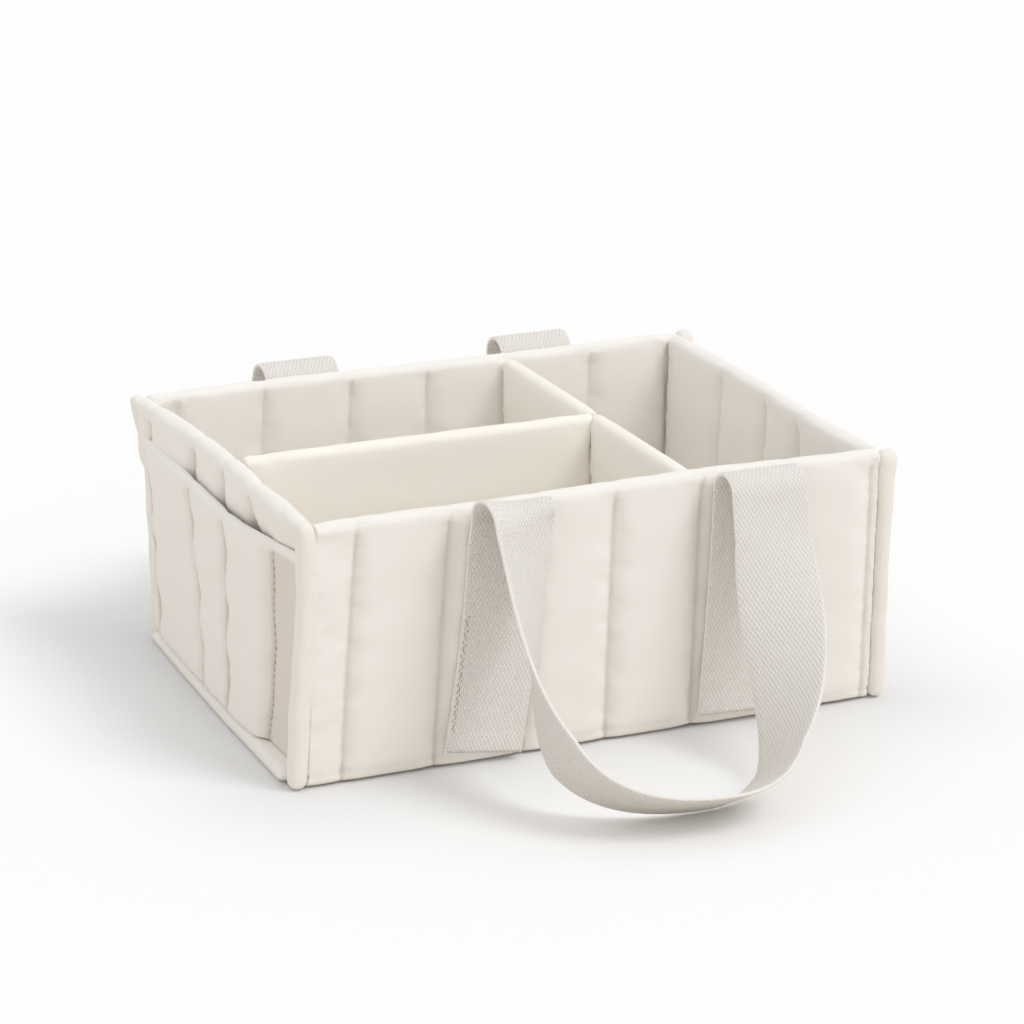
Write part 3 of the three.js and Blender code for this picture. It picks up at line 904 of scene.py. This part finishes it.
def flat_pad(name, left, right, depth, bottom, thick, edge, groove, finish):
    """A pad whose left edge may follow a row of (y, x) places. groove is the seams' depth."""
    ys = np.linspace(-depth, depth, PAD_SLICES)
    left = np.array(left, float)
    rings = []
    for y in ys:
        near_end = min(1.0, (depth - abs(y)) / edge)
        full = thick / 2 * math.sqrt(max(0.02, 1 - (1 - near_end) ** 2))
        low_x = np.interp(y, left[:, 0], left[:, 1])
        xs = np.linspace(low_x + edge, right - edge, PAD_POINTS)
        turn = np.pi / 2 * np.arange(1, EDGE_ARC) / EDGE_ARC
        from_seam = np.mod(xs + QUILT_PITCH / 2, QUILT_PITCH) - QUILT_PITCH / 2
        seam = np.exp(-(from_seam / QUILT_GROOVE) ** 2)
        rise = full - groove * seam * min(1.0, full / (thick / 2))
        start = [(low_x, 0.0)] + [(low_x + edge * (1 - math.cos(a)), full * math.sin(a)) for a in turn]
        end = [(right - edge * (1 - math.sin(a)), full * math.cos(a)) for a in turn] + [(right, 0.0)]
        top = start + list(zip(xs, rise)) + end
        under = [(x, -h) for x, h in top[1:-1]][::-1]
        rings.append([(x, y, bottom + thick / 2 + h) for x, h in top + under])
    return finer(skin(name, np.array(rings), finish))


base_cover = flat_pad(
    "base_cover_padded",
    [(-122.6, -202.5), (-72, -200.5), (-22, -198.5), (56, -194.0), (122.6, -189.0)],
    188.0, 122.6, 0.0, 10.0, 5.0, 0.0, ivory_cotton)
floor_cover = flat_pad(
    "floor_pad_quilted", [(-122, -167.4), (122, -167.4)], 167.4, 122.4, 10.3, 5.0, 2.5, 1.3, ivory_cotton)
print("base and floor are", base_cover.name, "and", floor_cover.name)

# %% [markdown]
# ## The seam that carries the leaves
#
# The three leaves share one upright piped seam. It is a thin cord under the cloth, so a row of
# small round slices is enough.

# %% The divider's seam
def piped_seam(name, radius, low, high):
    angles = 2 * np.pi * np.arange(12) / 12
    heights = np.linspace(low, high, 30)
    ease = np.minimum(1.0, np.minimum(heights - low, high - heights) / radius + 0.25)
    rings = [[(DIVIDER[0] + radius * e * math.cos(a), DIVIDER[1] + radius * e * math.sin(a), z)
              for a in angles] for z, e in zip(heights, ease)]
    return finer(skin(name, np.array(rings), divider_cotton))


divider_piping = piped_seam("divider_piping", 2.0, LEAF_BOTTOM, DIVIDER_TOP - 3.0)
print(divider_piping.name, "stands at", DIVIDER)

# %% [markdown]
# ## The webbing handles
#
# Each handle is one length of webbing. Both ends are sewn up the outside of the wall; at the rim
# the band turns over in a round fold, falls away from the wall, twists by a quarter turn and comes
# to rest on its lower edge. The band's path is a row of frames: a point, a direction across the
# band and, from those two, the direction that its face looks. The front handle fell a little
# differently on its two sides, so each side has its own numbers.

# %% The path of a handle
BAND = 49.0
BAND_THICK = 2.4
BAND_STEP = 2.2
LEG_X = 81.0
LEG_Y = 137.55
LEG_STEPS = 60
ARCH_STEPS = 25
STRAND_STEPS = 140


def handle_side(side, fold, path):
    """One half of a handle from its foot to its middle, as points and directions across, in mm."""
    turn, lean = math.radians(fold["turn"]), math.radians(fold["lean"])
    rise = np.linspace(0, 1, LEG_STEPS)
    leg_x = side * LEG_X + path["foot"] + (path["top"] - path["foot"]) * np.sin(np.pi / 2 * rise)
    leg_z = fold["foot"] + (fold["base"] - fold["foot"]) * rise
    leg = np.stack([leg_x, np.full(LEG_STEPS, -LEG_Y), leg_z], -1)
    bend = np.linspace(0, turn, ARCH_STEPS + 1)[1:]
    arch = np.stack([np.full(ARCH_STEPS, leg_x[-1]), -LEG_Y - fold["radius"] * (1 - np.cos(bend)),
                     fold["base"] + fold["radius"] * np.sin(bend)], -1)
    away = np.array([0.0, -math.sin(turn), math.cos(turn)])
    a, d = arch[-1], np.array([fold["middle"], -fold["reach"], fold["height"]])
    b, c = a + path["straight"] * away, d + np.array([side * path["flat"], 0, 0])
    t = np.linspace(0, 1, STRAND_STEPS)[1:, None]
    strand = (1 - t) ** 3 * a + 3 * (1 - t) ** 2 * t * b + 3 * (1 - t) * t * t * c + t ** 3 * d
    points = np.vstack([leg, arch, strand])
    run = run_along(points)
    start = run[LEG_STEPS + ARCH_STEPS - 1] + path["twist_from"]
    twist = np.pi / 2 * np.clip((run - start) / path["twist_over"], 0, 1)[:, None]
    outer = np.cos(twist) * np.array([side, 0, 0])
    outer = outer + np.sin(twist) * np.array([0, -math.cos(lean), math.sin(lean)])
    return points, outer


def handle_path(fold, left, right, mirror):
    """The whole path at even steps, with directions along, across and out of the band."""
    halves = zip(handle_side(-1, fold, left), handle_side(1, fold, right))
    points, outer = (np.vstack([one, other[-2::-1]]) for one, other in halves)
    run = run_along(points)
    even = np.linspace(0, run[-1], round(run[-1] / BAND_STEP))
    points, outer = (np.stack([np.interp(even, run, row[:, k]) for k in range(3)], -1)
                     for row in (points, outer))
    points[:, 1] *= mirror
    outer[:, 1] *= mirror
    along = np.gradient(points, axis=0)
    along /= np.linalg.norm(along, axis=1, keepdims=True)
    outer -= (outer * along).sum(1, keepdims=True) * along
    outer /= np.linalg.norm(outer, axis=1, keepdims=True)
    return points, along, outer, np.cross(along, outer), even


FRONT_FOLD = dict(radius=11.7, base=150.55, turn=170.3, lean=30.3,
                  reach=267.7, height=13.9, middle=6.4, foot=8.5)
FRONT_LEFT = dict(foot=-1.0, top=11.5, straight=66.0, flat=137.4, twist_over=191.3, twist_from=-54.6)
FRONT_RIGHT = dict(foot=1.8, top=6.8, straight=88.3, flat=68.0, twist_over=138.6, twist_from=26.2)
BACK_FOLD = dict(radius=11.7, base=151.0, turn=171.0, lean=29.0,
                 reach=265.0, height=13.6, middle=0.0, foot=12.0)
BACK_SIDE = dict(foot=0.0, top=0.0, straight=85.0, flat=85.0, twist_over=160.0, twist_from=0.0)
front_path = handle_path(FRONT_FOLD, FRONT_LEFT, FRONT_RIGHT, 1)
back_path = handle_path(BACK_FOLD, BACK_SIDE, BACK_SIDE, -1)
print("webbing in the front handle:", round(front_path[4][-1]), "mm")
print("webbing in the back handle:", round(back_path[4][-1]), "mm")

# %% [markdown]
# The band itself is a flat section carried along that path. Its faces are very slightly
# cushioned, its two ends are turned under and so a little thicker, and its map counts
# millimetres across and along, which is what the weave follows.

# %% Two bands of webbing
BAND_POINTS = 28
HEM_FOLD = 11.0
HEM_EXTRA = 0.35
WIDTH_DRIFT = 0.006


def webbing_band(name, path):
    points, _, outer, face, even = path
    half = BAND_POINTS // 2
    one_face = np.concatenate([[-1, -0.985], np.linspace(-0.95, 0.95, half - 3), [0.985, 1]])
    spots = np.concatenate([one_face, one_face[-2:0:-1]])
    sign = np.concatenate([[0.0], np.ones(half - 1), [0.0], -np.ones(half - 1)])
    swell = np.minimum(1.0, (1 - np.abs(spots)) * 40) ** 0.5
    rings = []
    for point, across, out, run in zip(points, outer, face, even):
        end = min(run, even[-1] - run)
        thick = BAND_THICK * (1.0 + HEM_EXTRA * (1 - smooth(HEM_FOLD - 1.0, HEM_FOLD + 0.6, end)))
        wide = BAND * (1 - WIDTH_DRIFT * (1 + math.sin(run / 19)))
        rings.append(point + np.outer(spots * wide / 2, across) + np.outer(sign * swell * thick / 2, out))
    piece = skin(name, np.array(rings), cotton_webbing)
    layer = piece.data.uv_layers["band"]
    for corner in piece.data.loops:
        row, slot = divmod(corner.vertex_index, BAND_POINTS)
        layer.data[corner.index].uv = ((spots[slot] + 1) * BAND / 2 * MM, even[row] * MM)
    return piece


front_band = webbing_band("front_handle_webbing", front_path)
back_band = webbing_band("back_handle_webbing", back_path)
print("band slices:", len(front_path[4]), "and", len(back_path[4]))

# %% [markdown]
# ## Stitches and selvage, by one node tree
#
# Stitches repeat along a line, and so do the little yarn turns on the edges of woven webbing. One
# Geometry Nodes tree makes both: it walks along a drawn line in even steps, sets a small rounded
# bead at each step, points the bead along the line and turns its flat side to the cloth. The
# tree's inputs are the step and the bead's three sizes. The line carries, at each of its points,
# the direction in which the cloth looks.

# %% The tree that sets beads along lines
def bead_tree():
    tree = bpy.data.node_groups.new("beads_along_lines", "GeometryNodeTree")
    add = tree.interface.new_socket
    add(name="Lines", in_out="INPUT", socket_type="NodeSocketGeometry")
    for name in ("Step", "Length", "Breadth", "Height"):
        add(name=name, in_out="INPUT", socket_type="NodeSocketFloat")
    add(name="Finish", in_out="INPUT", socket_type="NodeSocketMaterial")
    add(name="Beads", in_out="OUTPUT", socket_type="NodeSocketGeometry")

    def node(kind, settings=None, **links):
        made = tree.nodes.new(kind)
        for key, value in (settings or {}).items():
            setattr(made, key, value)
        for key, value in links.items():
            if isinstance(value, bpy.types.NodeSocket):
                tree.links.new(value, made.inputs[key])
            else:
                made.inputs[key].default_value = value
        return made

    given = node("NodeGroupInput").outputs
    curve = node("GeometryNodeMeshToCurve", Mesh=given["Lines"])
    steps = node("GeometryNodeResampleCurve", {"mode": "LENGTH"},
                 Curve=curve.outputs[0], Length=given["Step"])
    bead = node("GeometryNodeMeshUVSphere", Segments=6, Rings=4, Radius=0.5)
    sizes = node("ShaderNodeCombineXYZ", X=given["Height"], Y=given["Breadth"], Z=given["Length"])
    tangent = node("GeometryNodeInputTangent")
    looks = node("GeometryNodeInputNamedAttribute", {"data_type": "FLOAT_VECTOR"}, Name="looks")
    lined = node("FunctionNodeAlignEulerToVector", {"axis": "Z"}, Vector=tangent.outputs[0])
    turned = node("FunctionNodeAlignEulerToVector", {"axis": "X", "pivot_axis": "Z"},
                  Rotation=lined.outputs[0], Vector=looks.outputs[0])
    placed = node("GeometryNodeInstanceOnPoints", Points=steps.outputs[0], Instance=bead.outputs[0],
                  Rotation=turned.outputs[0], Scale=sizes.outputs[0])
    real = node("GeometryNodeRealizeInstances", Geometry=placed.outputs[0])
    finished = node("GeometryNodeSetMaterial", Geometry=real.outputs[0], Material=given["Finish"])
    tree.links.new(finished.outputs[0], node("NodeGroupOutput").inputs[0])
    return tree


BEADS = bead_tree()


def beads(name, lines, finish, **sizes):
    """lines is a list of (points, looks) in mm. Returns one plain mesh with a bead at each step.

    sizes are the tree's step, length, breadth and height in mm."""
    points = np.vstack([line[0] for line in lines])
    looks = np.vstack([line[1] for line in lines])
    edges, first = [], 0
    for line in lines:
        edges += [(first + k, first + k + 1) for k in range(len(line[0]) - 1)]
        first += len(line[0])
    mesh = bpy.data.meshes.new(name)
    mesh.from_pydata((points * MM).tolist(), edges, [])
    attribute = mesh.attributes.new("looks", "FLOAT_VECTOR", "POINT")
    attribute.data.foreach_set("vector", looks.astype(np.float32).ravel())
    mesh.materials.append(finish)
    piece = new_object(name, mesh)
    modifier = piece.modifiers.new("beads", "NODES")
    modifier.node_group = BEADS
    values = {"Finish": finish, **{key.capitalize(): size * MM for key, size in sizes.items()}}
    for item in BEADS.interface.items_tree:
        if item.item_type == "SOCKET" and item.in_out == "INPUT" and item.name in values:
            modifier[item.identifier] = values[item.name]
    settled_mesh(piece)
    piece.data.polygons.foreach_set("use_smooth", np.ones(len(piece.data.polygons), bool))
    print(name, "has", len(piece.data.polygons), "faces")
    return piece


# %% [markdown]
# The quilting thread lies deep in each seam. Its lines are read from the finished panels: the
# first points of a divided mesh are still the points that were drawn, in the same order. The
# pocket's sewn margin shows larger stitches, because nothing puffs up beside them.

# %% Quilting thread and pocket stitches
QUILT_STITCH = dict(step=3.2, length=2.7, breadth=0.42, height=0.42)
MARGIN_STITCH = dict(step=4.4, length=2.6, breadth=0.9, height=0.9)


def seam_lines(panel, seams, faces=(1, -1), lift=0.05):
    """Lines along the seams of a panel, just proud of the cloth."""
    points = corners(panel.piece)[: len(panel.at) * panel.size].reshape(-1, panel.size, 3)
    ahead = panel.placed(panel.sheet + np.array([0.0, 1.0, 0.0])) - panel.placed(panel.sheet)
    lines = []
    for seam in seams:
        row = panel.seams[seam]
        held, rise = panel.sheet[row, :, 1], panel.sheet[row, :, 2]
        sewn = (rise > rise.min() + 2) & (rise < rise.max() - panel.full - panel.stop)
        for face in faces:
            index = np.flatnonzero((face * held > 0) & sewn)
            index = index[np.argsort(rise[index])]
            looks = ahead[row, index] * face
            lines.append((points[row, index] + looks * lift, looks))
    return lines


quilting = []
for panel in (front_wall, back_wall, left_end_wall, right_end_wall):
    quilting += seam_lines(panel, range(1, len(panel.seams) - 1))
quilting += seam_lines(left_pocket, (2, 3), faces=(1,)) + seam_lines(right_pocket, (2, 3, 4), faces=(1,))
quilting_thread = beads("quilting_thread", quilting, sewing_thread, **QUILT_STITCH)
margins = seam_lines(left_pocket, (1,), faces=(1,)) + seam_lines(right_pocket, (1, 5), faces=(1,))
margin_thread = beads("pocket_margin_thread", margins, sewing_and_gap_shade, **MARGIN_STITCH)

# %% [markdown]
# The selvage of webbing is where the weft yarn turns back, so its edge is a row of tiny turns.
# Each leg is held to the wall by a zigzag up the outer edge of its lower half.

# %% Selvage turns and handle stitches
YARN_TURN = dict(step=1.9, length=2.7, breadth=BAND_THICK * 1.06, height=1.3)
LEG_STITCH = dict(step=2.4, length=1.9, breadth=0.55, height=0.4)
EDGE_INSET = 0.4
ZIGZAG = 1.1


def selvage(name, path):
    """A row of yarn turns along both edges of a band."""
    points, _, outer, _, _ = path
    edges = [(points + outer * side * (BAND / 2 - EDGE_INSET), outer * side) for side in (1, -1)]
    return beads(name, edges, selvage_yarn, **YARN_TURN)


def leg_stitches(path, mirror, inset=2.4, foot=3.0, top=92.0):
    """A zigzag of sewing up the outer edge of each leg's lower half."""
    points, _, outer, _, even = path
    lines = []
    half = len(even) // 2
    for part in (slice(0, half), slice(half, None)):
        on_wall = np.abs(points[part, 1]) < LEG_Y + 0.25
        chosen = np.flatnonzero((points[part, 2] < top) & on_wall) + (part.start or 0)
        chosen = chosen[np.minimum(even[chosen], even[-1] - even[chosen]) > foot]
        looks = np.tile([0.0, -1.0 * mirror, 0.0], (len(chosen), 1))
        zigzag = np.where(np.arange(len(chosen)) % 2, ZIGZAG, -ZIGZAG)[:, None]
        shift = outer[chosen] * (BAND / 2 - inset + zigzag) + looks * (BAND_THICK / 2 + 0.05)
        lines.append((points[chosen] + shift, looks))
    return lines


front_selvage = selvage("front_selvage", front_path)
back_selvage = selvage("back_selvage", back_path)
handle_stitching = beads("handle_stitching", leg_stitches(front_path, 1) + leg_stitches(back_path, -1),
                         sewing_and_gap_shade, **LEG_STITCH)

# %% [markdown]
# ## What rides on what
#
# Walls, pockets, rolls, base and floor are the basket. The divider's leaves ride on their own
# bodies. The handles' bands and selvages ride on nothing; their places are baked into their points.

# %% Hand the pieces over to the frame
BLEND_FROM = 0.1405
BLEND_TO = 0.1515

stands_for = {
    "front_wall_quilted": "front_wall", "back_wall_quilted": "back_wall",
    "left_end_wall_quilted": "left_end_wall", "right_end_wall_quilted": "right_end_wall",
    "left_pocket_quilted": "left_pocket", "right_pocket_quilted": "right_pocket",
    "front_left_roll_soft": "front_left_corner_roll", "front_right_roll_soft": "front_right_corner_roll",
    "back_left_roll_soft": "back_left_corner_roll", "back_right_roll_soft": "back_right_corner_roll",
    "base_cover_padded": "base_panel", "floor_pad_quilted": "floor_pad",
    "divider_back_leaf_padded": "divider_back_leaf", "divider_piping": "divider_seam",
    "divider_front_leaf_padded": "divider_front_leaf", "divider_long_leaf_padded": "divider_long_leaf"}
rides_on = {"divider_back_leaf_padded": "divider", "divider_piping": "divider",
            "divider_front_leaf_padded": "front_leaf", "divider_long_leaf_padded": "long_leaf"}
for name, node in stands_for.items():
    piece = bpy.data.objects[name]
    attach(piece, rides_on.get(name, "basket"))
    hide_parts(node)
for thread in (quilting_thread, margin_thread, handle_stitching):
    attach(thread, "basket")
handles = (("front", -1, (front_band, front_selvage)), ("back", 1, (back_band, back_selvage)))
for side, mirror, pieces in handles:
    for piece in pieces:
        side + "_handle"
        mirror * BLEND_FROM
        mirror * BLEND_TO
        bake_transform(piece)
    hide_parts(side + "_left_strap_leg", side + "_right_strap_leg", side + "_handle_loop")
print("pieces placed:", len(stands_for) + 7)

# %% [markdown]
# ## Floor and light
#
# The floor is one pale plane that runs far behind the basket, so the white background is the
# floor itself. What the camera sees of it is white, with a painted shadow that greys it a little
# close to the basket; what lights the basket from below is a warmer tone. A bright even sky and one
# soft sun lamp from the right, in front and above, light the basket. The gentle shade on the left of
# each channel comes partly from that lamp and partly from shade painted beside each seam.

# %% Floor, sky and lamp
FLOOR_SIZE = 60.0
FOOTPRINT = (0.195, 0.136, 0.0)
SHADE_REACH = 0.13
SKY = 0.79
LAMP = 0.8
LAMP_SPREAD = 24.0
LAMP_FROM = (0.5, -0.6, 1.0)
WHITE = (1.0, 1.0, 1.0, 1)
SHADE = (0.85, 0.855, 0.865, 1)
BOUNCE = (0.8, 0.765, 0.715, 1)


def studio_floor():
    half = FLOOR_SIZE / 2
    mesh = bpy.data.meshes.new("studio_floor")
    square = [(-half, -half, 0), (half, -half, 0), (half, half, 0), (-half, half, 0)]
    mesh.from_pydata(square, [], [(0, 1, 2, 3)])
    paint = Finish("studio_floor", roughness=1.0)
    path = paint.node("ShaderNodeLightPath", out="Is Camera Ray")
    spot = paint.node("ShaderNodeTexCoord", out="Object")
    away = paint.node("ShaderNodeVectorMath", {"operation": "ABSOLUTE"}, {0: spot})
    away = paint.node("ShaderNodeVectorMath", {"operation": "SUBTRACT"}, {0: away, 1: FOOTPRINT})
    away = paint.node("ShaderNodeVectorMath", {"operation": "MAXIMUM"}, {0: away, 1: (0.0, 0.0, 0.0)})
    gap = paint.node("ShaderNodeVectorMath", {"operation": "LENGTH"}, {0: away}, out="Value")
    # Painted shadow: the floor that the camera sees turns from SHADE to white over SHADE_REACH from the
    # basket's footprint.
    clear = (gap * (1 / SHADE_REACH)).between(0.0, 1.0)
    clear = clear * (2.0 - clear)
    seen = paint.mix(clear, SHADE, WHITE)
    paint.wear(Base_Color=paint.mix(path, BOUNCE, seen))
    paint.skin.inputs["Specular IOR Level"].default_value = 0.0
    mesh.materials.append(paint.material)
    new_object("studio_floor", mesh)


def studio_sky():
    world = bpy.data.worlds.new("studio_sky")
    bpy.context.scene.world = world
    world.use_nodes = True
    tree = world.node_tree
    seen = tree.nodes.new("ShaderNodeLightPath")
    light = tree.nodes["Background"]
    shown = tree.nodes.new("ShaderNodeBackground")
    light.inputs["Color"].default_value = WHITE
    light.inputs["Strength"].default_value = SKY
    shown.inputs["Color"].default_value = WHITE
    chosen = tree.nodes.new("ShaderNodeMixShader")
    mask = Value(tree, seen.outputs["Is Camera Ray"]) + Value(tree, seen.outputs["Is Glossy Ray"])
    mask = (mask + Value(tree, seen.outputs["Is Transmission Ray"])).between(0.0, 1.0)
    tree.links.new(mask.socket, chosen.inputs[0])
    tree.links.new(light.outputs[0], chosen.inputs[1])
    tree.links.new(shown.outputs[0], chosen.inputs[2])
    tree.links.new(chosen.outputs[0], tree.nodes["World Output"].inputs["Surface"])


studio_floor()
studio_sky()
lamp = bpy.data.lights.new("wide_lamp", "SUN")
lamp.energy = LAMP
lamp.angle = math.radians(LAMP_SPREAD)
lamp_stand = new_object("wide_lamp", lamp)
lamp_stand.rotation_mode = "QUATERNION"
lamp_stand.rotation_quaternion = Vector(LAMP_FROM).to_track_quat("Z", "Y")
print("sky", SKY, "lamp", LAMP)
